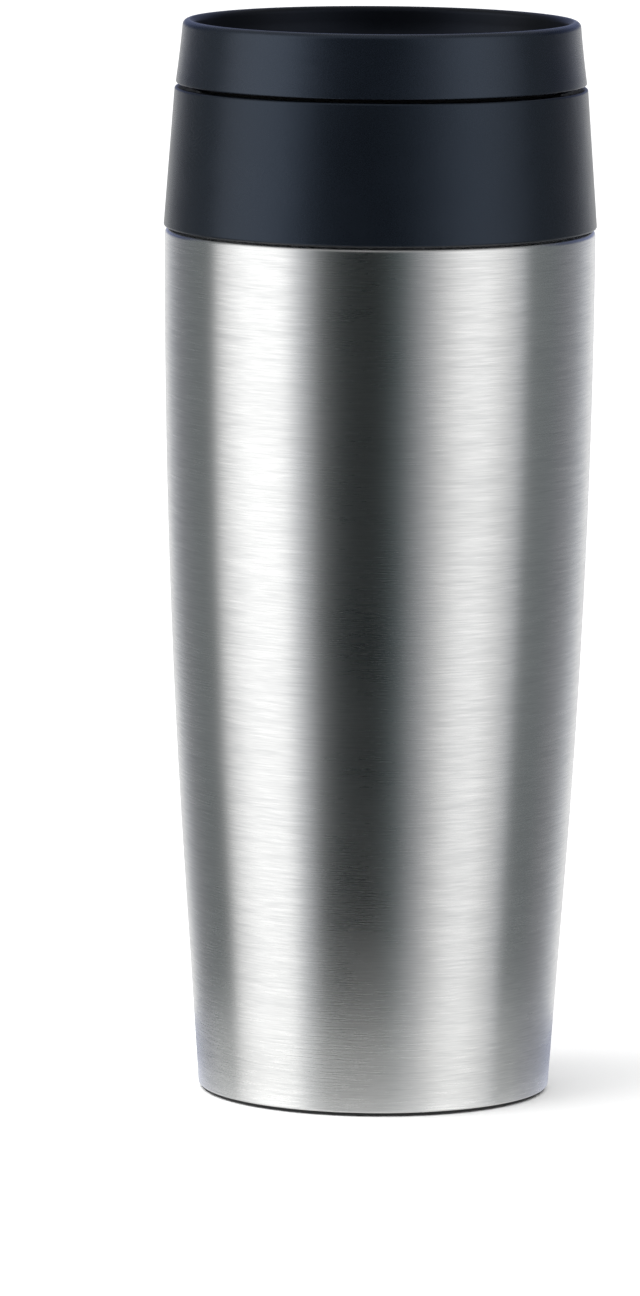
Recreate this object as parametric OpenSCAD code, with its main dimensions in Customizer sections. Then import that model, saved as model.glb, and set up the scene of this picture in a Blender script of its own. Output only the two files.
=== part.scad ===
// Insulated travel mug: a double-walled steel body, a black collar on its neck, and a
// screw-in drinking lid with a press-to-open ring valve that pours all the way round.
// Origin: centre of the foot, on the surface that the mug stands on. +Z is up.

/* [Overall] */
// Height of the closed mug, to the top of the drinking lip
total_h = 204; // [203.5:0.1:205]
// Greatest diameter, at the lower edge of the collar
max_d = 82; // [81.8:0.1:83]
// Height of the joint between steel and collar
collar_z = 164.9; // [163:0.1:165]
// Height of the collar's upper edge
seam_z = 191.3; // [191.2:0.1:191.4]
// Open gap between collar and drinking ring
seam_gap = 0.7; // [0.5:0.1:0.8]

/* [Steel body] */
// Diameter of the steel where it is widest, just under the collar
belly_d = 81.5; // [80.5:0.1:81.7]
// Radius of the long curve of the steel side
bulge_r = 1715; // [1500:5:2200]
// Height below which the side is a straight cone
straight_z = 45; // [30:1:60]
// Sheet thickness of both steel walls
sheet_t = 0.6; // [0.4:0.05:0.7]
// Vacuum gap between the two walls
vacuum_gap = 2.8; // [2:0.1:3.2]
// Inside diameter of the steel mouth
mouth_d = 65; // [64.8:0.1:65.4]
// Outside diameter of the steel neck
neck_d = 70; // [69.6:0.1:70]
// Height of the steel lip
steel_lip_z = 178; // [177.8:0.1:178]
// Height of the inside floor
floor_z = 8; // [7.9:0.1:10]

/* [Collar and ring] */
// Diameter of the collar's upper edge
collar_top_d = 78.2; // [77.6:0.1:78.6]
// Diameter of the drinking ring's lower edge
ring_low_d = 77.7; // [77.2:0.1:78]
// Diameter of the drinking ring just under its lip
ring_high_d = 75.3; // [75:0.1:75.6]
// Wall thickness of the rounded drinking lip
lip_t = 2.3; // [2:0.1:2.6]

/* [Screw thread] */
// Rise of the lid in one full turn
thread_lead = 12; // [11:0.5:13]
// Number of thread starts
thread_starts = 2; // [2:1:2]
// Angle that each ridge covers
ridge_span = 180; // [120:10:180]

/* [Valve] */
// Travel of the push button and valve
press_travel = 4; // [3:0.1:4]
// Radius of the pour opening in the valve seat
seat_r = 25; // [24.8:0.1:25.2]
// Radius of the push button
button_r = 12.9; // [12.8:0.05:12.95]
// Radius of the two pins that guide the latch drum
pin_r = 0.8; // [0.6:0.05:0.85]

/* [Hidden] */
$fn = 128;

// Colours
steel = "silver";
black_plastic = "#23262c";
silicone = "#3c3f44";
clear_plastic = "#8a9097";

// Steel body
shoulder_round = 1;
shoulder_z = collar_z - 0.3;
neck_r = neck_d / 2;
mouth_r = mouth_d / 2;
foot_gap = 0.45;
foot_round = 0.45;
cup_plate_z = 3;
dimple_clear_r = 8;
getter_x = 12;

// Collar
collar_round = 0.4;
thread_bore_r = neck_r + 0.7;
collar_ridge_r = thread_bore_r - 1.3;

// Drinking ring and screw insert
ring_z = seam_z + seam_gap;
lip_r = lip_t / 2;
lip_mid_r = ring_high_d / 2 - lip_r;
insert_r = 33.9;
insert_bore_r = 31.6;
insert_top_z = ring_z + 3.95;
nose_r = mouth_r - 0.6;
seat_z = steel_lip_z - 1;
insert_ridge_r = thread_bore_r - 0.4;
insert_shoulder_z = steel_lip_z + 2;

// Thread ridges: widths along Z, and the height at which the insert's first ridge starts
ridge_w = 2.4;
crest_w = 1.3;
ridge_sink = 0.4;
ridge_step = 6;
ridge_clearance = 0.35;
insert_thread_z = steel_lip_z + 4.6;
collar_thread_z = steel_lip_z + 4.8;
// Turns the collar's ridges so that the insert's run just under them when the lid is tight
collar_thread_a = 360 * (collar_thread_z - insert_thread_z - ridge_w - ridge_clearance) / thread_lead;

// Mechanism in the hub of the insert
hub_bore_r = 9;
hub_r = 11;
hub_floor_z = seat_z - 1.1;
hub_floor_t = 2.1;
hub_top_z = steel_lip_z + 10;
chamber_r = 13.6;
chamber_wall_t = 1.6;
spring_seat_z = steel_lip_z + 5;
chamber_top_z = steel_lip_z + 13.5;
rib_w = 2.2;
stem_r = 2.2;
stem_bore_r = stem_r + 0.08;
boss_r = 4;
cover_r = 19.5;
disc_top_z = hub_floor_z - 1;
disc_z = disc_top_z - 3.3;
washer_z = disc_z - 0.57;
nut_z = washer_z - 2.02;

// Latch drum: the groove rises by the press travel and falls back by 1 mm to the latched rest
drum_r = 8.5;
drum_wall = 0.8;
groove_floor_r = 6.9;
groove_clearance = 0.25;
latch_drop = 1;
cycles = 4;
cycle_a = 360 / cycles;
groove_slope = atan(press_travel / (2 * PI * groove_floor_r * cycle_a / 4 / 360));
groove_h = (pin_r + groove_clearance) / cos(groove_slope);
drum_z = hub_floor_z + hub_floor_t + press_travel + 1.1;
pin_z = drum_z + drum_wall + groove_h;
drum_h = press_travel + 2 * groove_h + 2 * drum_wall;
button_under_z = drum_z + drum_h + 0.2;
button_top_z = button_under_z + 3.8;

// Radius of the steel side at height z: a long arc above straight_z, its tangent below
function arc_drop(z) = bulge_r - sqrt(pow(bulge_r, 2) - pow(collar_z - z, 2));
side_slope = (collar_z - straight_z) / sqrt(pow(bulge_r, 2) - pow(collar_z - straight_z, 2));
function steel_r(z) = belly_d / 2 - (z < straight_z
    ? arc_drop(straight_z) + (straight_z - z) * side_slope
    : arc_drop(z));
function side_heights(low, high) =
    concat([low], [for (z = [straight_z:8:high - 3]) if (z > low) z], [high]);
function side_path(low, high, inset) = [for (z = side_heights(low, high)) [steel_r(z) - inset, z]];
function flip(points) = [for (i = [len(points) - 1:-1:0]) points[i]];
function arc_points(x, z, r, a0, a1, n) =
    [for (i = [0:n]) let (a = a0 + (a1 - a0) * i / n) [x + r * cos(a), z + r * sin(a)]];

module revolve(points) {
    rotate_extrude() polygon(points);
}

module tube(outer_r, inner_r, z, h) {
    revolve([[inner_r, z], [outer_r, z], [outer_r, z + h], [inner_r, z + h]]);
}

module o_ring(mid_r, wire_r, z) {
    rotate_extrude() translate([mid_r, z]) circle(r = wire_r, $fn = 24);
}

// A closed sweep: each ring of points joins the next, and flat caps end it
module sweep(rings) {
    n = len(rings[0]);
    last = len(rings) - 1;
    sides = [for (i = [0:last - 1], k = [0:n - 1])
        [i * n + k, (i + 1) * n + k, (i + 1) * n + (k + 1) % n, i * n + (k + 1) % n]];
    caps = [[for (k = [0:n - 1]) k], [for (k = [n - 1:-1:0]) last * n + k]];
    polyhedron([for (ring = rings) each ring], concat(sides, caps), convexity = 6);
}

// The ridges of a thread, from root_r to crest_r, tapering in at both ends. The helix is
// right-handed, so turning anticlockwise seen from above lifts the lid.
module thread_ridges(root_r, crest_r, z) {
    out = crest_r > root_r;
    base_r = root_r + (out ? -ridge_sink : ridge_sink);
    steps = ceil(ridge_span / ridge_step);
    for (start = [0:thread_starts - 1]) {
        rotate([0, 0, start * 360 / thread_starts]) sweep([for (i = [0:steps])
            let (a = ridge_span * i / steps)
            let (zc = z + thread_lead * a / 360)
            let (tip = root_r + (crest_r - root_r) * (1.2 * min(1, i / 3, (steps - i) / 3) - 0.2))
            let (section = [[base_r, -ridge_w / 2], [tip, -crest_w / 2],
                [tip, crest_w / 2], [base_r, ridge_w / 2]])
            [for (p = out ? flip(section) : section) [p[0] * cos(a), p[0] * sin(a), zc + p[1]]]]);
    }
}

// Pockets that keep a moulding's walls even: an annular slot broken by radial ribs
module moulding_pockets(outer_r, inner_r, z, h, ribs, rib_t) {
    difference() {
        tube(outer_r, inner_r, z, h);
        for (i = [0:ribs - 1]) {
            rotate([0, 0, i * 360 / ribs]) translate([0, -rib_t / 2, z - 1]) cube([outer_r + 1, rib_t, h + 2]);
        }
    }
}

// Outer wall of the steel body, with its shoulder and neck
module outer_shell() {
    edge_r = steel_r(foot_gap);
    top_r = steel_r(shoulder_z) - shoulder_round;
    color(steel) revolve(concat(
        arc_points(edge_r - foot_round, foot_gap + foot_round, foot_round, -90, 0, 4),
        side_path(straight_z, shoulder_z - shoulder_round, 0),
        arc_points(top_r, shoulder_z - shoulder_round, shoulder_round, 15, 90, 5),
        [[neck_r + 0.6, shoulder_z], [neck_r, shoulder_z + 0.6], [neck_r, steel_lip_z - 0.5]],
        [[neck_r - sheet_t, steel_lip_z - 0.5], [neck_r - sheet_t, shoulder_z - sheet_t]],
        [[top_r, shoulder_z - sheet_t]],
        flip(side_path(straight_z, shoulder_z - shoulder_round, sheet_t)),
        [[edge_r - sheet_t, foot_gap]]));
}

// Inner wall: the cup that holds the drink, turned over at the lip
module inner_liner() {
    inset = 2 * sheet_t + vacuum_gap;
    bend = 5;
    low_r = steel_r(floor_z + bend) - inset;
    shoulder_low = shoulder_z - 7;
    shoulder_high = shoulder_z - 1.5;
    color(steel) revolve(concat(
        [[0, floor_z - sheet_t], [low_r - bend, floor_z - sheet_t]],
        arc_points(low_r - bend, floor_z + bend, bend + sheet_t, -75, -15, 4),
        side_path(floor_z + bend, shoulder_low, inset - sheet_t),
        [[mouth_r + sheet_t, shoulder_high], [mouth_r + sheet_t, steel_lip_z - 0.5]],
        [[neck_r, steel_lip_z - 0.5], [neck_r, steel_lip_z - 0.15], [neck_r - 0.15, steel_lip_z]],
        [[mouth_r + 0.3, steel_lip_z], [mouth_r, steel_lip_z - 0.3]],
        [[mouth_r, shoulder_high]],
        flip(side_path(floor_z + bend, shoulder_low, inset)),
        arc_points(low_r - bend, floor_z + bend, bend, -15, -75, 4),
        [[low_r - bend, floor_z], [0, floor_z]]));
}

// Pressed disc that closes the outer wall, with the dimple through which it is evacuated
module base_cup() {
    skirt_low = 0.9;
    top = cup_plate_z + sheet_t;
    fit = sheet_t + 0.02;
    dimple_r = 6;
    dimple_h = 1.2;
    vent_r = 1;
    color(steel) revolve([
        [steel_r(skirt_low) - fit - sheet_t, skirt_low], [steel_r(skirt_low) - fit, skirt_low],
        [steel_r(top) - fit, top], [dimple_r + 1.6, top],
        [dimple_r + 0.4, top + dimple_h], [vent_r, top + dimple_h],
        [vent_r, cup_plate_z + dimple_h], [dimple_r, cup_plate_z + dimple_h],
        [dimple_r + 1.2, cup_plate_z], [steel_r(cup_plate_z) - fit - sheet_t, cup_plate_z]]);
}

// Clip under the liner that holds the getter in the vacuum
module getter_clip() {
    color(steel) translate([getter_x, 0, 0]) revolve([
        [0, 6.8], [3.7, 6.8], [3.7, 5.9], [4.3, 5.9], [4.3, floor_z - sheet_t - 0.02],
        [0, floor_z - sheet_t - 0.02]]);
}

// Getter, which takes up the last gas in the vacuum
module getter_pellet() {
    color("dimgray") translate([getter_x, 0, 5.5]) cylinder(r = 3.6, h = 1.28);
}

// Bead that seals the evacuation hole
module seal_bead() {
    bead_r = 3;
    bead_z = cup_plate_z + 1.2;
    color("darkgoldenrod") revolve(concat(
        [[0, bead_z - 0.8]],
        arc_points(bead_r - 0.8, bead_z, 0.8, -80, -10, 4),
        [[bead_r, bead_z - 0.01], [0.98, bead_z - 0.01], [0.98, bead_z + sheet_t], [0, bead_z + sheet_t]]));
}

// Rubber pad under the foot: the mug stands on its outer ring
module base_pad() {
    skirt_r = steel_r(0.9) - 2 * sheet_t - 0.1;
    rim_r = steel_r(foot_gap) - foot_round;
    rest_r = 25;
    color("#1a1b1d") difference() {
        revolve([[0, 0.8], [rest_r - 1, 0.8], [rest_r, 0], [rim_r - 0.1, 0], [rim_r, 0.1],
            [rim_r, foot_gap - 0.05], [skirt_r, foot_gap - 0.05], [skirt_r, cup_plate_z - 0.1],
            [dimple_clear_r, cup_plate_z - 0.1], [0, cup_plate_z - 0.1]]);
        for (r = [8, 14, 20]) {
            tube(r + 0.8, r, 0.7, 0.5);
        }
    }
}

// Black collar fixed round the steel neck, with the thread for the lid inside its top
module neck_collar() {
    low_r = max_d / 2;
    high_r = collar_top_d / 2;
    color(black_plastic) union() {
        difference() {
            revolve(concat(
                arc_points(low_r - collar_round, collar_z + collar_round, collar_round, -90, 0, 4),
                arc_points(high_r - collar_round, seam_z - collar_round, collar_round, 0, 90, 4),
                [[thread_bore_r + 0.8, seam_z], [thread_bore_r, seam_z - 0.8]],
                [[thread_bore_r, steel_lip_z + 0.4], [neck_r + 0.15, steel_lip_z + 0.2]],
                [[neck_r + 0.15, collar_z + 0.8], [neck_r + 0.8, collar_z + 0.55]],
                [[low_r - 1, collar_z + 0.55], [low_r - 1, collar_z]]));
            moulding_pockets(low_r - 2.2, neck_r + 1.8, collar_z - 1, 20, 12, 1.4);
        }
        rotate([0, 0, collar_thread_a]) thread_ridges(thread_bore_r, collar_ridge_r, collar_thread_z);
    }
}

// Flat seal between the collar and the steel shoulder
module collar_seal() {
    color(silicone) tube(max_d / 2 - 1.1, neck_r + 0.9, shoulder_z + 0.01, collar_z + 0.53 - shoulder_z);
}

// Seal between the lid and the steel lip
module lid_gasket() {
    inner_r = nose_r + 0.3;
    outer_r = collar_ridge_r - 0.3;
    low = steel_lip_z + 0.1;
    high = insert_shoulder_z - 0.1;
    lip_w = 0.4;
    color(silicone) revolve([
        [inner_r + lip_w, low], [outer_r - lip_w, low], [outer_r, low + lip_w],
        [outer_r - lip_w, (low + high) / 2], [outer_r, high - lip_w], [outer_r - lip_w, high],
        [inner_r, high], [inner_r, low + lip_w]]);
}

// Upper black ring with the rounded drinking lip. Inside, the wall slopes down to the bore's edge
// and leads the drink back to the valve.
module drinking_ring() {
    low_r = ring_low_d / 2;
    high_r = ring_high_d / 2;
    lip_z = total_h - lip_r;
    edge = 0.35;
    sag = 0.07;
    steps = 8;
    color(black_plastic) difference() {
        revolve(concat(
            arc_points(low_r - edge, ring_z + edge, edge, -90, 0, 4),
            [for (i = [1:steps - 1]) let (t = i / steps)
                [low_r + (high_r - low_r) * t - sag * 4 * t * (1 - t),
                    ring_z + edge + (lip_z - ring_z - edge) * t]],
            arc_points(lip_mid_r, lip_z, lip_r, 0, 180, 12),
            [[lip_mid_r - lip_r - 0.3, lip_z - 3], [lip_mid_r - lip_r - 1.1, lip_z - 5]],
            [[insert_bore_r + 0.9, insert_top_z + 0.6], [insert_bore_r, insert_top_z + 0.25]],
            [[insert_bore_r, insert_top_z + 0.05], [insert_r + 0.15, insert_top_z + 0.05]],
            [[insert_r + 0.15, ring_z]]));
        moulding_pockets(ring_high_d / 2 - 0.5, insert_r + 1.6, ring_z - 1, 5.4, 12, 1.2);
    }
}

// Seal between the drinking ring and the insert
module ring_seal() {
    color(silicone) o_ring(insert_r - 0.55, 0.65, ring_z + 2.2);
}

// Threaded insert: valve seat at the bottom, and a hub on four ribs for the mechanism
module screw_insert() {
    floor_top = hub_floor_z + hub_floor_t;
    color(black_plastic) difference() {
        union() {
            revolve([
                [seat_r, seat_z], [nose_r - 0.4, seat_z], [nose_r, seat_z + 0.4],
                [nose_r, insert_shoulder_z], [insert_r - 0.4, insert_shoulder_z],
                [insert_r, insert_shoulder_z + 0.4], [insert_r, insert_top_z],
                [insert_bore_r, insert_top_z], [insert_bore_r, seat_z + 7],
                [insert_bore_r - 0.8, seat_z + 5.4], [insert_bore_r - 2.4, seat_z + 4.2],
                [seat_r + 0.4, seat_z + 2.8], [seat_r, seat_z + 2.4]]);
            revolve([
                [stem_bore_r, hub_floor_z], [hub_r - 1, hub_floor_z], [hub_r, hub_floor_z + 1],
                [hub_r, spring_seat_z - 2], [chamber_r + chamber_wall_t, spring_seat_z - 2],
                [chamber_r + chamber_wall_t, chamber_top_z], [chamber_r, chamber_top_z],
                [chamber_r, spring_seat_z], [hub_r, spring_seat_z], [hub_r, hub_top_z],
                [hub_bore_r, hub_top_z], [hub_bore_r, floor_top], [stem_bore_r, floor_top]]);
            for (a = [45:90:315]) {
                rotate([0, 0, a]) translate([chamber_r + 0.6, -rib_w / 2, seat_z + 3.4])
                    cube([insert_bore_r - chamber_r + 0.2, rib_w, 5.1]);
            }
            thread_ridges(insert_r, insert_ridge_r, insert_thread_z);
        }
        tube(stem_r + 1.5, stem_bore_r - 1, hub_floor_z + 0.3, 1.5);
        tube(insert_r + 1, insert_r - 1.25, ring_z + 1.5, 1.4);
        for (side = [0, 180]) {
            rotate([0, 0, side]) translate([hub_bore_r - 1, 0, pin_z]) rotate([0, 90, 0])
                cylinder(r = pin_r + 0.02, h = chamber_r + chamber_wall_t - hub_bore_r + 2);
        }
    }
}

// Cover over the spring chamber; the push button comes up through it
module mechanism_cover() {
    top = chamber_top_z + 3.1;
    skirt_r = chamber_r + chamber_wall_t + 0.1;
    hole_r = button_r + 0.4;
    edge = 1.5;
    color(black_plastic) revolve(concat(
        [[skirt_r, chamber_top_z - 5.5], [skirt_r + 1.6, chamber_top_z - 5.5]],
        [[skirt_r + 1.6, chamber_top_z - 0.5], [cover_r - 0.6, chamber_top_z + 0.3]],
        [[cover_r, chamber_top_z + 0.9]],
        arc_points(cover_r - edge, top - edge, edge, 0, 90, 5),
        [[hole_r + 0.4, top], [hole_r, top - 0.4], [hole_r, chamber_top_z + 0.05]],
        [[skirt_r, chamber_top_z + 0.05]]));
}

// Two steel pins in the hub wall whose ends run in the drum's groove
module cam_pins() {
    tip_r = groove_floor_r + 0.2;
    color(steel) for (side = [0, 180]) {
        rotate([0, 0, side]) translate([tip_r, 0, pin_z]) rotate([0, 90, 0])
            cylinder(r = pin_r, h = hub_r - tip_r);
    }
}

// Seal round the valve stem, in the hub floor
module stem_o_ring() {
    color(silicone) o_ring(stem_r + 0.78, 0.68, hub_floor_z + 1.05);
}

// Coil spring that lifts the button and closes the valve
module return_spring() {
    wire_r = 0.45;
    coil_r = (hub_r + chamber_r) / 2;
    turns = 5;
    sides = 8;
    per_turn = 24;
    low = spring_seat_z + wire_r + 0.02;
    rise = button_under_z - spring_seat_z - 2 * wire_r - 0.04;
    color(steel) sweep([for (i = [0:turns * per_turn])
        let (a = i * 360 / per_turn)
        let (z = low + rise * i / (turns * per_turn))
        [for (k = [0:sides - 1]) let (b = -k * 360 / sides) let (r = coil_r + wire_r * cos(b))
            [r * cos(a), r * sin(a), z + wire_r * sin(b)]]]);
}

// Push button, with the boss that carries the latch drum and takes the stem
module push_button() {
    recess = 0.5;
    inlay_r = button_r - 1.7;
    boss_low = drum_z - 0.05;
    color(black_plastic) revolve(concat(
        [[stem_r + 0.02, boss_low], [boss_r, boss_low], [boss_r, button_under_z]],
        [[boss_r + 2, button_under_z], [boss_r + 2.2, button_under_z + 2.2]],
        [[button_r - 2, button_under_z + 2.2], [button_r - 1.8, button_under_z]],
        [[button_r, button_under_z], [button_r, button_under_z + 0.5]],
        [[button_r - 0.7, button_under_z + 0.5], [button_r - 0.7, button_under_z + 1.6]],
        [[button_r, button_under_z + 1.6], [button_r, button_top_z - 0.6]],
        arc_points(button_r - 0.6, button_top_z - 0.6, 0.6, 15, 90, 5),
        [[inlay_r + 0.05, button_top_z], [inlay_r + 0.05, button_top_z - recess]],
        [[0, button_top_z - recess], [0, button_top_z - 2.3], [stem_r + 0.02, button_top_z - 2.3]]));
}

// Soft pad set into the top of the button
module button_inlay() {
    inlay_r = button_r - 1.7;
    low = button_top_z - 0.49;
    color(silicone) revolve([
        [0, low], [inlay_r, low], [inlay_r, low + 0.5], [inlay_r - 0.3, low + 0.7],
        [inlay_r - 2, low + 0.65], [inlay_r * 0.5, low + 0.45], [0, low + 0.4]]);
}

// Wiping seal in the side of the button
module button_seal() {
    low = button_under_z + 0.52;
    color(silicone) revolve([
        [button_r - 0.68, low], [button_r, low], [button_r + 0.15, low + 0.5],
        [button_r, low + 1.04], [button_r - 0.68, low + 1.04]]);
}

// Steel stem from the button down to the valve
module valve_stem() {
    thread_r = 1.9;
    collar_low = disc_top_z + 0.02;
    color(steel) revolve([
        [0, nut_z - 0.4], [thread_r - 0.3, nut_z - 0.4], [thread_r, nut_z - 0.1],
        [thread_r, disc_z + 0.4], [stem_r, disc_z + 0.4], [stem_r, collar_low],
        [stem_r + 1.4, collar_low], [stem_r + 1.4, collar_low + 0.5], [stem_r, collar_low + 0.5],
        [stem_r, button_top_z - 2.32], [0, button_top_z - 2.32]]);
}
// Round valve plate under the seat
module valve_disc() {
    rim_r = seat_r + 2.6;
    color(clear_plastic) revolve([
        [stem_r + 0.05, disc_z], [6, disc_z], [7, disc_z + 0.8], [rim_r - 3.6, disc_z + 0.8],
        [rim_r - 0.6, disc_z + 1.6], [rim_r, disc_z + 2.3], [rim_r, disc_z + 3.2],
        [rim_r - 3, disc_z + 3.2], [rim_r - 4, disc_z + 2.6], [6.5, disc_z + 2.6],
        [5.8, disc_z + 3.3], [stem_r + 0.05, disc_z + 3.3]]);
}

// Soft ring on the valve plate that closes against the seat
module valve_seal() {
    low = disc_z + 3.22;
    high = seat_z - 0.1;
    color(silicone) revolve([
        [seat_r - 0.3, low], [seat_r + 2.7, low], [seat_r + 3.2, low + 0.5],
        [seat_r + 3, high - 0.8], [seat_r + 2.2, high], [seat_r + 1.4, high],
        [seat_r + 0.6, high - 0.8], [seat_r - 0.3, high - 1.2]]);
}

// Washer between the valve plate and its nut
module stem_washer() {
    color(steel) tube(5.5, 1.95, washer_z, 0.55);
}

// Hexagon nut that holds the valve plate on the stem
module valve_nut() {
    color(steel) translate([0, 0, nut_z]) difference() {
        cylinder(r = 4.2, h = 2, $fn = 6);
        translate([0, 0, -1]) cylinder(r = 1.92, h = 4);
    }
}

// Spring clip on the stem that keeps the drum on the button's boss
module retaining_clip() {
    color(steel) difference() {
        tube(6, stem_r + 0.02, drum_z - 0.7, 0.55);
        translate([stem_r, -1.5, drum_z - 1]) cube([6, 3, 1.2]);
    }
}

// Height of the groove's middle above the pin at rest, at angle a round the drum
function groove_z(a) =
    let (t = (a % cycle_a) / (cycle_a / 4))
    t < 1 ? press_travel * t
    : t < 2 ? press_travel - latch_drop * (t - 1)
    : t < 3 ? press_travel - latch_drop * (3 - t)
    : press_travel * (4 - t);

// Drum with a zigzag groove: each press turns it on, and holds or frees the button
module latch_drum() {
    outer = drum_r + 0.5;
    step = 3.75;
    rings = 360 / step;
    points = [for (i = [0:rings - 1])
        let (a = -i * step)
        let (z = pin_z + groove_z(i * step))
        each [for (p = [[groove_floor_r, -groove_h], [outer, -groove_h], [outer, groove_h],
            [groove_floor_r, groove_h]]) [p[0] * cos(a), p[0] * sin(a), z + p[1]]]];
    faces = [for (i = [0:rings - 1], k = [0:3]) let (j = (i + 1) % rings)
        [i * 4 + k, j * 4 + k, j * 4 + (k + 1) % 4, i * 4 + (k + 1) % 4]];
    color("ivory") difference() {
        tube(drum_r, boss_r + 0.08, drum_z, drum_h);
        polyhedron(points, faces, convexity = 10);
    }
}

outer_shell();
inner_liner();
base_cup();
getter_clip();
getter_pellet();
seal_bead();
base_pad();
neck_collar();
collar_seal();
lid_gasket();
drinking_ring();
ring_seal();
screw_insert();
mechanism_cover();
cam_pins();
stem_o_ring();
return_spring();
push_button();
button_inlay();
button_seal();
valve_stem();
valve_disc();
valve_seal();
stem_washer();
valve_nut();
retaining_clip();
latch_drum();
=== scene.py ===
import math

import bmesh
import bpy
from mathutils import Matrix, Vector


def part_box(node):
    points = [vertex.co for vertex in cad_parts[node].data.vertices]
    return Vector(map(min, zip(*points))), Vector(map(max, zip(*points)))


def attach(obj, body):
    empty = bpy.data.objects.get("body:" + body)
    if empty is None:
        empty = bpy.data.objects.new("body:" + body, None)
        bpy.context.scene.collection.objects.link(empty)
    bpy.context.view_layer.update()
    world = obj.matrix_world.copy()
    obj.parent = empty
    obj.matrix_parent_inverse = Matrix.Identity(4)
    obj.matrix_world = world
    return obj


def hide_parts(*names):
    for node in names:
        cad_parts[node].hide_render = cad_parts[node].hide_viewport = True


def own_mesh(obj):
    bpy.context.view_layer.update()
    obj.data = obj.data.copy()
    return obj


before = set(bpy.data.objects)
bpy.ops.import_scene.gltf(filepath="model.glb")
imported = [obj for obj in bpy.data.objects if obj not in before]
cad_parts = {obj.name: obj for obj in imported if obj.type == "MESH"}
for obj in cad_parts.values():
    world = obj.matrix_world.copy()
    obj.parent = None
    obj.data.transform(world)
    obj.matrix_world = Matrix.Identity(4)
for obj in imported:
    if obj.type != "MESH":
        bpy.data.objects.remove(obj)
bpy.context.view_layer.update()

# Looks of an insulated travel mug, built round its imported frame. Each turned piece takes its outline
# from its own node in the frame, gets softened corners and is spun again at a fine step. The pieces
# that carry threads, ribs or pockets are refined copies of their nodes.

MM = 0.001
SEGMENTS = 192      # steps round a turned piece
NEAR = 1e-6         # metres: closer than this counts as the same place
CUT_ANGLE = 0.01    # degrees: turned this far, a cut misses the seams of the turned nodes


# ---------------------------------------------------------------- outlines

def cut_edges(bm, node, centre):
    """Fills bm with a node and returns the edges where a half plane through its axis cuts it."""
    bm.from_mesh(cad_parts[node].data)
    bmesh.ops.translate(bm, vec=(-centre[0], -centre[1], 0), verts=bm.verts)
    bmesh.ops.remove_doubles(bm, verts=bm.verts, dist=NEAR)
    swing = Matrix.Rotation(math.radians(-CUT_ANGLE), 3, "Z")
    bmesh.ops.rotate(bm, cent=(0, 0, 0), matrix=swing, verts=bm.verts)
    for facing in ((1, 0, 0), (0, 1, 0)):
        geometry = bm.verts[:] + bm.edges[:] + bm.faces[:]
        cut = bmesh.ops.bisect_plane(bm, geom=geometry, dist=1e-9, plane_co=(0, 0, 0), plane_no=facing,
                                     clear_inner=facing[0] == 1)
    edges = [e for e in cut["geom_cut"] if isinstance(e, bmesh.types.BMEdge)]
    return [e for e in edges if e.calc_length() > 0.1 * NEAR]


def section(node, centre):
    """The outlines, as lists of (radius, height), where a half plane through the axis cuts a node."""
    bm = bmesh.new()
    links = {}
    for e in cut_edges(bm, node, centre):
        links.setdefault(e.verts[0], []).append(e.verts[1])
        links.setdefault(e.verts[1], []).append(e.verts[0])
    chains = []
    while links:
        ends = [v for v in links if len(links[v]) == 1]
        here = min(ends or links, key=lambda v: (v.co.z, v.co.x))
        chain = [here]
        while links.get(here):
            there = links[here].pop()
            links[there].remove(here)
            if not links[here]:
                del links[here]
            chain.append(there)
            here = there
        links = {v: near for v, near in links.items() if near}
        chains.append([(max(v.co.x, 0.0), v.co.z) for v in chain])
    bm.free()
    return joined(chains)


def joined(chains, gap=2e-5):
    """The same outlines, with ends that lie within a small gap of each other made into one path."""
    done = []
    while chains:
        path, i = chains.pop(0), 0
        while i < len(chains):
            start, end = Vector(path[0]), Vector(path[-1])
            first, last = Vector(chains[i][0]), Vector(chains[i][-1])
            if (end - first).length < gap:
                path = path + chains.pop(i)
            elif (end - last).length < gap:
                path = path + chains.pop(i)[::-1]
            elif (start - last).length < gap:
                path = chains.pop(i) + path
            elif (start - first).length < gap:
                path = chains.pop(i)[::-1] + path
            else:
                i += 1
                continue
            i = 0
        done.append(path)
    return done


def turn(a, b, c):
    """The angle, in degrees, through which a path turns at b."""
    u, v = (Vector(b) - Vector(a)), (Vector(c) - Vector(b))
    if u.length < 1e-9 or v.length < 1e-9:
        return 0.0
    return math.degrees(u.angle(v))


def simplified(points, closed):
    """The same path without repeated points and points on a straight run."""
    kept = []
    for p in points:
        if not kept or (Vector(p) - Vector(kept[-1])).length > 2 * NEAR:
            kept.append(p)
    if closed and (Vector(kept[0]) - Vector(kept[-1])).length < 2 * NEAR:
        kept.pop()
    n = len(kept)
    return [
        kept[i] for i in range(n)
        if (not closed and i in (0, n - 1)) or turn(kept[i - 1], kept[i], kept[(i + 1) % n]) > 0.02
    ]


def softened(points, closed, radius, steps=4, least_turn=22, most_of_side=0.42):
    """The path with each corner sharper than least_turn replaced by an arc of up to this radius."""
    out, n = [], len(points)
    for i, p in enumerate(points):
        if not closed and i in (0, n - 1):
            out.append(p)
            continue
        a, b, c = Vector(points[i - 1]), Vector(p), Vector(points[(i + 1) % n])
        angle = turn(a, b, c)
        if angle < least_turn:
            out.append(p)
            continue
        half = math.radians(min(angle, 150)) / 2
        reach = min(radius * math.tan(half), most_of_side * (a - b).length, most_of_side * (c - b).length)
        start, end = b + (a - b).normalized() * reach, b + (c - b).normalized() * reach
        for k in range(steps + 1):
            t = k / steps
            out.append(tuple(start * (1 - t) ** 2 + b * 2 * t * (1 - t) + end * t ** 2))
    return out


# ---------------------------------------------------------------- pieces

def linked(name, bm):
    """A new object in the scene, with the bmesh as its mesh."""
    mesh = bpy.data.meshes.new(name)
    bm.to_mesh(mesh)
    bm.free()
    made = bpy.data.objects.new(name, mesh)
    bpy.context.scene.collection.objects.link(made)
    return made


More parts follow.
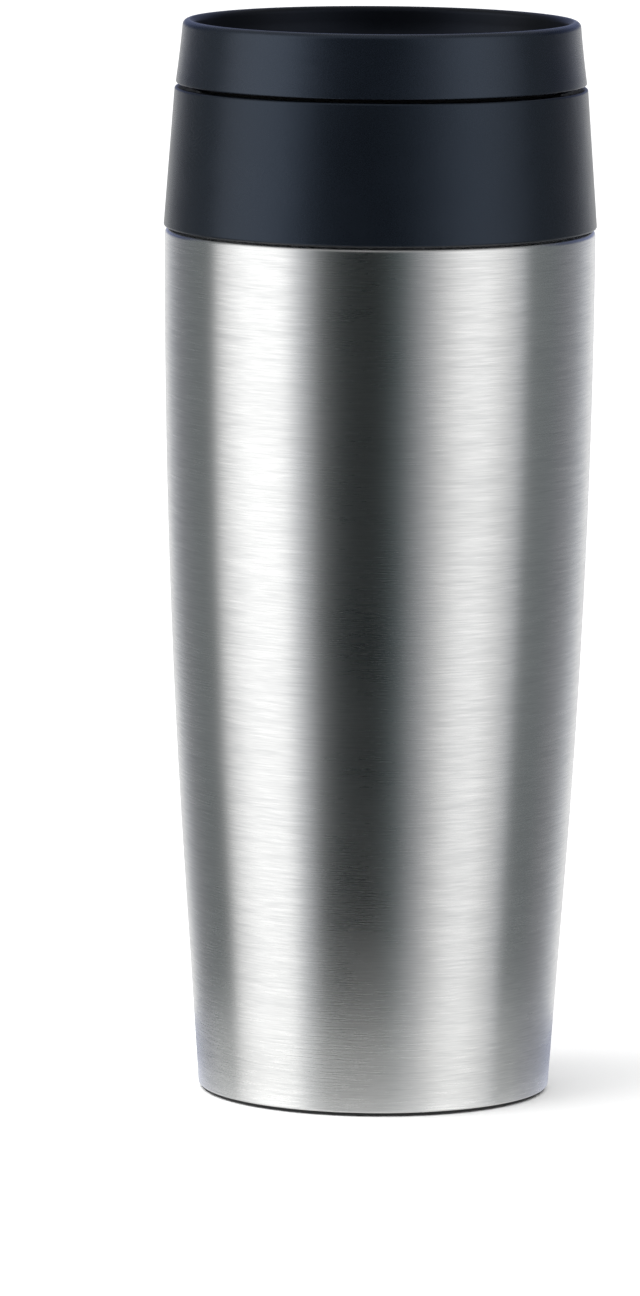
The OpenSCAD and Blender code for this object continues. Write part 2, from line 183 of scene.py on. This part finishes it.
def add_piece(bm, node, body, material, sharp=None):
    """Makes the shown piece of a node from a bmesh and rides it on the node's body."""
    bmesh.ops.recalc_face_normals(bm, faces=bm.faces)
    piece = linked(f"{node}_fine", bm)
    mesh = piece.data
    for face in mesh.polygons:
        face.use_smooth = True
    if sharp:
        mesh.set_sharp_from_angle(angle=math.radians(sharp))
    weighted = piece.modifiers.new("even_normals", "WEIGHTED_NORMAL")
    weighted.keep_sharp = True
    weighted.weight = 80
    mesh.materials.append(material)
    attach(piece, body)
    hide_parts(node)
    return piece


def spin(bm, outline, closed, segments, centre=(0, 0)):
    """Adds the surface that an outline sweeps round the axis."""
    rings = []
    for r, z in outline:
        if r < NEAR:
            rings.append([bm.verts.new((centre[0], centre[1], z))])
            continue
        rings.append([
            bm.verts.new((centre[0] + r * math.cos(a), centre[1] + r * math.sin(a), z))
            for a in (2 * math.pi * k / segments for k in range(segments))
        ])
    pairs = list(zip(rings, rings[1:]))
    if closed:
        pairs.append((rings[-1], rings[0]))
    for low, high in pairs:
        for k in range(segments):
            j = (k + 1) % segments
            corners = [low[k % len(low)], low[j % len(low)], high[j % len(high)], high[k % len(high)]]
            corners = list(dict.fromkeys(corners))
            if len(corners) > 2:
                bm.faces.new(corners)


def turned(node, body, material, corner, segments=SEGMENTS, centre=(0, 0)):
    """A turned piece: its node's outline, with corners softened by so many mm, spun again."""
    bm = bmesh.new()
    for chain in section(node, centre):
        closed = not (chain[0][0] < 10 * NEAR and chain[-1][0] < 10 * NEAR)
        outline = simplified(chain, closed)
        spin(bm, softened(outline, closed, corner * MM), closed, segments, centre)
    return add_piece(bm, node, body, material)


def refined(node, body, material):
    """A copy of a node with welded facets and even shading."""
    bm = bmesh.new()
    bm.from_mesh(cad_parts[node].data)
    bmesh.ops.remove_doubles(bm, verts=bm.verts, dist=2 * NEAR)
    bmesh.ops.dissolve_degenerate(bm, edges=bm.edges, dist=NEAR)
    return add_piece(bm, node, body, material, sharp=28)


def finish_side(piece, material, side, least=0.35):
    """Gives another material to a piece's walls that face away from the axis (1) or towards it (-1)."""
    piece.data.materials.append(material)
    for face in piece.data.polygons:
        outward = face.normal.xy.dot(face.center.xy.normalized())
        face.material_index = int(side * outward > least)


def finish_underside(piece, material, least=0.95):
    """Gives another material to a piece's faces that look down."""
    piece.data.materials.append(material)
    for face in piece.data.polygons:
        if -face.normal.z > least:
            face.material_index = len(piece.data.materials) - 1


# ---------------------------------------------------------------- materials

class Nodes:
    """A short way to write node trees: each call adds one node and returns its output."""

    def __init__(self, tree):
        self.tree = tree
        self.tree.nodes.clear()

    def put(self, socket, value):
        if hasattr(value, "is_output"):
            self.tree.links.new(value, socket)
        else:
            socket.default_value = value

    def node(self, kind, inputs=(), **attributes):
        made = self.tree.nodes.new(kind)
        for key, value in attributes.items():
            setattr(made, key, value)
        for key, value in dict(inputs).items():
            self.put(made.inputs[key], value)
        return made

    def place(self):
        return self.node("ShaderNodeTexCoord").outputs["Object"]

    def math(self, operation, a, b=0.0, c=0.0):
        return self.node("ShaderNodeMath", {0: a, 1: b, 2: c}, operation=operation).outputs[0]

    def vector(self, operation, a, b=(0, 0, 0)):
        return self.node("ShaderNodeVectorMath", {0: a, 1: b}, operation=operation).outputs[0]

    def scale(self, a, factor):
        return self.node("ShaderNodeVectorMath", {0: a, "Scale": factor}, operation="SCALE").outputs[0]

    def noise(self, at, scale, detail=3.0, rough=0.55, distortion=0.0):
        inputs = {
            "Vector": at, "Scale": scale, "Detail": detail, "Roughness": rough, "Distortion": distortion,
        }
        return self.node("ShaderNodeTexNoise", inputs).outputs[0]

    def remap(self, value, low, high, to_low, to_high):
        inputs = {
            "Value": value, "From Min": low, "From Max": high, "To Min": to_low, "To Max": to_high,
        }
        return self.node("ShaderNodeMapRange", inputs).outputs[0]

    def mix(self, factor, a, b):
        made = self.node("ShaderNodeMix", data_type="RGBA")
        self.put(made.inputs["Factor"], factor)
        self.put(made.inputs["A"], (*a, 1) if isinstance(a, tuple) else a)
        self.put(made.inputs["B"], (*b, 1) if isinstance(b, tuple) else b)
        return made.outputs["Result"]

    def bump(self, height, strength, distance):
        inputs = {"Height": height, "Strength": strength, "Distance": distance}
        return self.node("ShaderNodeBump", inputs).outputs[0]

    def round_axis(self, around, along):
        """Coordinates that follow a turned surface: slow round the axis and fast along it."""
        at = self.place()
        out = self.vector("NORMALIZE", self.vector("MULTIPLY", at, (1, 1, 0)))
        ring = self.vector("MULTIPLY", out, (around, around, 0))
        return self.vector("ADD", ring, self.vector("MULTIPLY", at, (0, 0, along)))


class Shader(Nodes):
    """A material with one surface, whose values are set by short names."""

    SOCKETS = {
        "color": "Base Color", "metallic": "Metallic", "roughness": "Roughness", "normal": "Normal",
        "anisotropic": "Anisotropic", "rotation": "Anisotropic Rotation", "tangent": "Tangent",
        "specular": "Specular IOR Level", "specular_tint": "Specular Tint", "sheen": "Sheen Weight",
        "sheen_roughness": "Sheen Roughness", "glow": "Emission Strength", "glow_color": "Emission Color",
    }

    def __init__(self, name):
        self.material = bpy.data.materials.new(name)
        self.material.use_nodes = True
        super().__init__(self.material.node_tree)
        output = self.node("ShaderNodeOutputMaterial")
        self.surface = self.node("ShaderNodeBsdfPrincipled")
        self.tree.links.new(self.surface.outputs[0], output.inputs["Surface"])

    def set(self, **values):
        for key, value in values.items():
            self.put(self.surface.inputs[self.SOCKETS[key]], value)


def brushed_steel():
    """Steel brushed round the body: fine horizontal lines of uneven length, tone and depth."""
    s = Shader("brushed_steel")
    hair = s.noise(s.round_axis(9, 9000), 1.0, 2.0)
    line = s.noise(s.round_axis(5, 3600), 1.0, 3.0)
    band = s.noise(s.round_axis(2, 600), 1.0, 3.0)
    cloud = s.noise(s.place(), 28, 3.0)
    tone = s.math("ADD", s.math("MULTIPLY", hair, 0.45), s.math("MULTIPLY", line, 0.55))
    tone = s.math("ADD", s.math("MULTIPLY", tone, 0.8), s.math("MULTIPLY", band, 0.2))
    color = s.mix(s.remap(tone, 0.34, 0.66, 0.0, 1.0), (0.51, 0.515, 0.515), (0.68, 0.68, 0.675))
    rough = s.remap(tone, 0.3, 0.7, 0.32, 0.24)
    rough = s.math("ADD", rough, s.remap(cloud, 0.3, 0.7, -0.02, 0.03))
    normal = s.bump(s.math("ADD", s.math("MULTIPLY", hair, 0.6), line), 0.1, 0.00004)
    tangent = s.node("ShaderNodeTangent", direction_type="RADIAL", axis="Z").outputs[0]
    s.set(color=color, metallic=1.0, roughness=rough, normal=normal, anisotropic=0.72, rotation=0.25,
          tangent=tangent)
    return s.material


def drawn_steel(name, color, rough, along=900, around=3):
    """Plain steel with the fine rings that drawing or turning leaves."""
    s = Shader(name)
    rings = s.noise(s.round_axis(around, along), 1.0, 3.0)
    cloud = s.noise(s.place(), 60, 3.0)
    dark = tuple(0.82 * c for c in color)
    s.set(color=s.mix(s.remap(rings, 0.35, 0.65, 0, 1), dark, color), metallic=1.0,
          roughness=s.math("ADD", s.remap(rings, 0.3, 0.7, rough * 0.8, rough * 1.2),
                           s.remap(cloud, 0.3, 0.7, -0.03, 0.04)),
          normal=s.bump(rings, 0.08, 0.00004))
    return s.material


def moulded_plastic(name, color, rough, tint=(1, 1, 1, 1), wear=0.5):
    """Moulded plastic: a fine even grain, faint handling marks, and edges a little paler."""
    s = Shader(name)
    at = s.place()
    fine = s.noise(at, 5200, 2.0, 0.6)
    coarse = s.noise(at, 1820, 2.0, 0.5)
    marks = s.noise(at, 46, 4.0, 0.6, 0.4)
    grain_height = s.math("ADD", fine, s.math("MULTIPLY", coarse, 0.8))
    edge = s.remap(s.node("ShaderNodeNewGeometry").outputs["Pointiness"], 0.52, 0.62, 0.0, wear)
    pale = tuple(min(1.0, 2.2 * c + 0.01) for c in color)
    dark = tuple(0.85 * c for c in color)
    base = s.mix(s.remap(marks, 0.3, 0.7, 0, 1), dark, color)
    base = s.mix(s.math("MULTIPLY", edge, s.remap(marks, 0.35, 0.7, 0.3, 1)), base, pale)
    rough_map = s.math("ADD", s.remap(marks, 0.35, 0.7, rough - 0.02, rough + 0.03),
                       s.remap(fine, 0.3, 0.7, -0.03, 0.03))
    s.set(color=base, roughness=rough_map, normal=s.bump(grain_height, 0.35, 0.00003), specular_tint=tint)
    return s.material


def polished_plastic(name, color, rough):
    """Polished moulding: glossy, with a slight waviness and a few fine wipe marks."""
    s = Shader(name)
    at = s.place()
    wave = s.noise(at, 130, 2.0)
    wipe = s.noise(s.round_axis(2.5, 700), 1.0, 3.0)
    dark = tuple(0.8 * c for c in color)
    s.set(color=s.mix(s.remap(wave, 0.3, 0.7, 0, 1), dark, color),
          roughness=s.math("ADD", s.remap(wipe, 0.35, 0.7, rough * 0.8, rough * 1.3),
                           s.remap(wave, 0.3, 0.7, -0.01, 0.02)),
          normal=s.bump(wave, 0.08, 0.0002))
    return s.material


def soft_rubber(name, color, rough, dots=False):
    """Silicone or rubber: a soft broad sheen and a powdery fine grain, or small grip dots."""
    s = Shader(name)
    at = s.place()
    fine = s.noise(at, 3800, 2.0, 0.6)
    dust = s.noise(at, 90, 4.0, 0.6)
    height = fine
    if dots:
        cells = s.node("ShaderNodeTexVoronoi", {"Vector": at, "Scale": 1100.0, "Randomness": 0.0})
        height = s.math("ADD", s.math("MULTIPLY", fine, 0.2),
                        s.remap(cells.outputs["Distance"], 0.2, 0.42, 1.0, 0.0))
    dark = tuple(0.75 * c for c in color)
    s.set(color=s.mix(s.remap(dust, 0.35, 0.7, 0, 1), dark, color),
          roughness=s.remap(dust, 0.3, 0.7, rough - 0.05, rough + 0.05),
          normal=s.bump(height, 0.4, 0.00004), sheen=0.12, sheen_roughness=0.4)
    return s.material


STEEL = brushed_steel()
LINER = drawn_steel("drawn_steel", (0.6, 0.6, 0.6), 0.3, 2600, 1.2)
SMALL_STEEL = drawn_steel("bright_steel", (0.55, 0.56, 0.57), 0.2, 2600, 8)
SPRING = drawn_steel("spring_wire", (0.5, 0.5, 0.5), 0.28, 300, 120)
GETTER = drawn_steel("sintered_metal", (0.16, 0.16, 0.17), 0.7, 3000, 90)
BRAZE = drawn_steel("braze", (0.55, 0.42, 0.25), 0.35, 400, 20)
COLLAR = moulded_plastic("matte_black_plastic", (0.0038, 0.0052, 0.0078), 0.29, (0.46, 0.58, 0.78, 1))
RING = moulded_plastic("satin_black_plastic", (0.0036, 0.005, 0.0078), 0.27, (0.6, 0.74, 0.98, 1))
INSERT = polished_plastic("gloss_black_plastic", (0.003, 0.0034, 0.005), 0.14)
HIDDEN_SIDE = moulded_plastic("rough_black_plastic", (0.002, 0.0024, 0.003), 0.75, wear=0.0)
# Painted shade: the inner walls of the rim take a darker black with a weak reflection tint, standing in
# for the shade inside the well.
WELL_PAINTED_SHADE = moulded_plastic("well_black_plastic_painted_shade", (0.0016, 0.0018, 0.0024), 0.4, (0.2, 0.24, 0.34, 1),
                            wear=0.0)
DISC = polished_plastic("grey_plastic", (0.09, 0.095, 0.1), 0.22)
DRUM = moulded_plastic("slip_plastic", (0.62, 0.61, 0.56), 0.38, wear=0.1)
SEAL = soft_rubber("silicone", (0.05, 0.053, 0.06), 0.5)
INLAY = soft_rubber("soft_inlay", (0.028, 0.031, 0.038), 0.6, dots=True)
PAD = soft_rubber("pad_rubber", (0.014, 0.014, 0.015), 0.8)


# ---------------------------------------------------------------- the mug

turned("outer_shell", "mug_body", STEEL, 0.1, 360)
turned("inner_liner", "mug_body", LINER, 0.2, 256)
turned("base_cup", "mug_body", LINER, 0.3)
turned("base_pad", "mug_body", PAD, 0.15, 256)
turned("collar_seal", "mug_body", SEAL, 0.1)
getter_low, getter_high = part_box("getter_clip")
getter_place = ((getter_low.x + getter_high.x) / 2, (getter_low.y + getter_high.y) / 2)
turned("getter_clip", "mug_body", SMALL_STEEL, 0.1, 64, centre=getter_place)
turned("getter_pellet", "mug_body", GETTER, 0.2, 64, centre=getter_place)
turned("seal_bead", "mug_body", BRAZE, 0.1, 64)
refined("neck_collar", "mug_body", COLLAR)

turned("lid_gasket", "lid_gasket", SEAL, 0.1, 256)

ring = refined("drinking_ring", "lid", RING)
# Painted shade on the ring's inward walls: darker, weakly reflecting plastic for the well inside the rim.
finish_side(ring, WELL_PAINTED_SHADE, -1)
finish_underside(ring, HIDDEN_SIDE)
turned("ring_seal", "lid", SEAL, 0.1)
finish_side(refined("screw_insert", "lid", INSERT), HIDDEN_SIDE, 1)
turned("mechanism_cover", "lid", INSERT, 0.25)
refined("cam_pins", "lid", SMALL_STEEL)
turned("stem_o_ring", "lid", SEAL, 0.1, 64)

turned("push_button", "plunger", INSERT, 0.2)
turned("button_inlay", "plunger", INLAY, 0.15)
turned("button_seal", "plunger", SEAL, 0.1)
turned("valve_stem", "plunger", SMALL_STEEL, 0.1, 64)
turned("valve_disc", "plunger", DISC, 0.2)
turned("valve_seal", "plunger", SEAL, 0.2)
turned("stem_washer", "plunger", SMALL_STEEL, 0.1, 64)
refined("valve_nut", "plunger", SMALL_STEEL)
refined("retaining_clip", "plunger", SMALL_STEEL)
refined("latch_drum", "latch_drum", DRUM)


def coil(bm, low_z, high_z, coil_r, wire_r, turns, per_turn=40, sides=12):
    """Adds a coil of wire, with a closed turn at each end."""
    rings = []
    for i in range(turns * per_turn + 1):
        a = 2 * math.pi * i / per_turn
        share = (i / per_turn - 1) / (turns - 2)
        rise = min(1.0, max(0.0, share))
        z = low_z + wire_r + rise * (high_z - low_z - 4 * wire_r)
        z += 2 * wire_r * (min(1, i / per_turn) * 0.5 + max(0, i / per_turn - turns + 1) * 0.5)
        out = Vector((math.cos(a), math.sin(a), 0))
        rings.append([
            bm.verts.new(out * (coil_r + wire_r * math.cos(b)) + Vector((0, 0, z + wire_r * math.sin(b))))
            for b in (2 * math.pi * k / sides for k in range(sides))
        ])
    for first, second in zip(rings, rings[1:]):
        for k in range(sides):
            j = (k + 1) % sides
            bm.faces.new((first[k], first[j], second[j], second[k]))
    bm.faces.new(rings[0])
    bm.faces.new(rings[-1])


def return_spring():
    """The spring under the button, a coil of wire that rides on the lid."""
    low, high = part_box("return_spring")
    wire_r = 0.45 * MM
    bm = bmesh.new()
    coil(bm, low.z, high.z, high.x - wire_r, wire_r, turns=5)
    piece = add_piece(bm, "return_spring", "lid", SPRING)
    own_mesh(piece)


return_spring()


# ---------------------------------------------------------------- studio

def disc(name, outer, inner=0.0001, segments=96):
    """A flat stage disc on the floor, with a pinhole on the axis."""
    bm = bmesh.new()
    rings = [
        [bm.verts.new((r * math.cos(a), r * math.sin(a), 0))
         for a in (2 * math.pi * k / segments for k in range(segments))]
        for r in (inner, outer)
    ]
    for k in range(segments):
        j = (k + 1) % segments
        bm.faces.new((rings[0][k], rings[1][k], rings[1][j], rings[0][j]))
    made = linked(name, bm)
    return made


def ground(name, dark, light, glow_from, glow_to, glow, **looks):
    """A speckled material for the floor. Its glow changes with the distance from the mug's axis."""
    s = Shader(name)
    speck = s.noise(s.place(), 900, 2.0)
    reach = s.node("ShaderNodeVectorMath", {0: s.place()}, operation="LENGTH").outputs["Value"]
    s.set(color=s.mix(speck, dark, light), glow=s.remap(reach, glow_from, glow_to, *glow),
          glow_color=(1, 1, 1, 1), **looks)
    return s.material


def floor():
    """A pale matt floor, and over it a satin board that only the mug's own reflections see. The board
    glows near the mug's foot: painted light that lifts it where the mug would shade it.
    """
    sheet = disc("floor_sheet", 4.0)
    sheet.data.materials.append(ground("pale_floor", (0.9, 0.9, 0.9), (0.93, 0.93, 0.93), 0.12, 0.7,
                                       (0.0, 0.2), roughness=0.9, specular=0.1))
    sheet.location.z = -0.0002
    sheet.visible_glossy = False
    board = disc("floor_board", 0.085)
    # Painted light: the board glows near the mug's foot and fades out by 52 mm, lifting the reflected
    # floor where the mug would shade it.
    board.data.materials.append(ground("satin_board", (0.86, 0.86, 0.85), (0.9, 0.9, 0.89), 0.034, 0.052,
                                       (0.34, 0.0), metallic=0.5, roughness=0.12))
    board.visible_camera = False
    board.visible_diffuse = False
    board.visible_shadow = False


# Brightness of the studio round the mug, by bearing in degrees: 0 is towards the camera and positive is
# to its right. Two tall soft lamps stand either side of a dark gap, with a white backdrop behind.
STUDIO = (
    (-180, 1.0), (-163, 1.0), (-150, 0.62), (-137, 0.33), (-120, 0.24), (-102, 0.2), (-97, 1.0),
    (-86, 1.5), (-76, 1.8), (-54, 1.8), (-44, 0.8), (-32, 0.12), (-20, 0.03), (-6, 0.015),
    (2, 0.025), (12, 0.11), (26, 0.5), (36, 0.95), (46, 1.4), (60, 1.5), (72, 1.1), (83, 0.72),
    (88, 0.24), (107, 0.24), (119, 0.3), (131, 0.42), (145, 0.72), (160, 1.0), (180, 1.0),
)
# A lamp's colour, by the least brightness that it is used from.
COOL = (
    (0.0, (0.72, 0.95, 1.0)), (0.12, (0.9, 0.98, 1.0)), (0.3, (0.97, 0.99, 1.03)), (0.9, (1.0, 1.0, 1.0)),
)


def tinted(bright):
    """A lamp's colour: neutral where it is bright, and cooler as it gets dark."""
    shade = [c for least, c in COOL if bright >= least][-1]
    return tuple(0.5 * bright * c for c in shade)


def studio_ramp(s, bearing):
    """The studio's brightness and colour at a bearing in radians, as a colour ramp."""
    ramp = s.node("ShaderNodeValToRGB", {0: s.remap(bearing, -math.pi, math.pi, 0.0, 1.0)})
    stops = ramp.color_ramp.elements
    stops.remove(stops[1])
    stops[0].color = (*tinted(STUDIO[0][1]), 1)
    for degrees, bright in STUDIO[1:]:
        stops.new((degrees + 180) / 360).color = (*tinted(bright), 1)
    return ramp.outputs[0]


def studio_world():
    """The studio that the mug mirrors. The camera sees plain white, and matt surfaces an even light."""
    world = bpy.data.worlds.new("studio")
    bpy.context.scene.world = world
    world.use_nodes = True
    s = Nodes(world.node_tree)
    split = s.node("ShaderNodeSeparateXYZ", {0: s.node("ShaderNodeTexCoord").outputs["Generated"]})
    x, y, z = split.outputs
    bearing = s.math("ARCTAN2", x, s.math("MULTIPLY", y, -1.0))
    # Low down the lamps stand a little nearer the front.
    bearing = s.math("MULTIPLY", bearing, s.remap(z, -0.11, -0.36, 1.0, 1.03))
    lamps = studio_ramp(s, bearing)
    # Behind the mug it is dim and blue above the horizon, so the rims of the black plastic stay dark.
    off_lamps = s.math("ABSOLUTE", s.math("ADD", bearing, math.radians(8)))
    behind = s.remap(off_lamps, math.radians(110), math.radians(124), 0.0, 1.0)
    dusk = s.math("MULTIPLY", behind, s.remap(z, -0.06, 0.1, 0.0, 1.0))
    dimmed = s.vector("MULTIPLY", lamps, (0.5, 0.58, 0.95))
    # Everywhere else the lamps are at full strength, and weaker low down.
    around = s.mix(dusk, s.scale(lamps, s.remap(z, -0.25, -0.3, 2.05, 1.55)), dimmed)
    overhead = s.remap(z, 0.45, 0.8, 0.0, 1.0)
    mirrored = s.mix(overhead, around, (0.5, 0.5, 0.5))
    rays = s.node("ShaderNodeLightPath").outputs
    lit = s.mix(rays["Is Diffuse Ray"], mirrored, (1.08, 1.08, 1.08))
    sky = s.node("ShaderNodeBackground", {"Color": s.mix(rays["Is Camera Ray"], lit, (1.0, 1.0, 1.0))})
    s.node("ShaderNodeOutputWorld", {"Surface": sky.outputs[0]})
    world.cycles.sampling_method = "NONE"


def soft_lamp(name, place, size, power):
    """A square soft lamp aimed at the mug's middle. Neither the camera nor reflections see it."""
    light = bpy.data.lights.new(name, "AREA")
    light.shape = "RECTANGLE"
    light.size = size
    light.size_y = size
    light.energy = power
    made = bpy.data.objects.new(name, light)
    bpy.context.scene.collection.objects.link(made)
    made.location = place
    middle = Vector((0, 0, 0.1))
    made.rotation_euler = (middle - Vector(place)).to_track_quat("-Z", "Y").to_euler()
    made.visible_glossy = False
    made.visible_camera = False


def camera():
    """The view: from the front, above the rim, looking about eight degrees down through a long lens."""
    data = bpy.data.cameras.new("camera")
    made = bpy.data.objects.new("camera", data)
    bpy.context.scene.collection.objects.link(made)
    bpy.context.scene.camera = made
    data.sensor_width = 36
    data.lens = 273.5
    distance, height = 1.857, 0.3407
    pitch, yaw, roll = math.radians(7.863), math.radians(0.3334), math.radians(0.43)
    look = Matrix.Rotation(yaw, 4, "Z") @ Matrix.Rotation(math.pi / 2 - pitch, 4, "X")
    made.matrix_world = Matrix.Translation((0, -distance, height)) @ look @ Matrix.Rotation(roll, 4, "Z")
    data.clip_start, data.clip_end = 0.05, 20


floor()
studio_world()
soft_lamp("left_lamp", (-0.4, -0.15, 0.7), 0.7, 5)
soft_lamp("top_lamp", (0.0, 0.1, 1.6), 1.2, 3)
camera()
bpy.context.scene.view_settings.view_transform = "Standard"
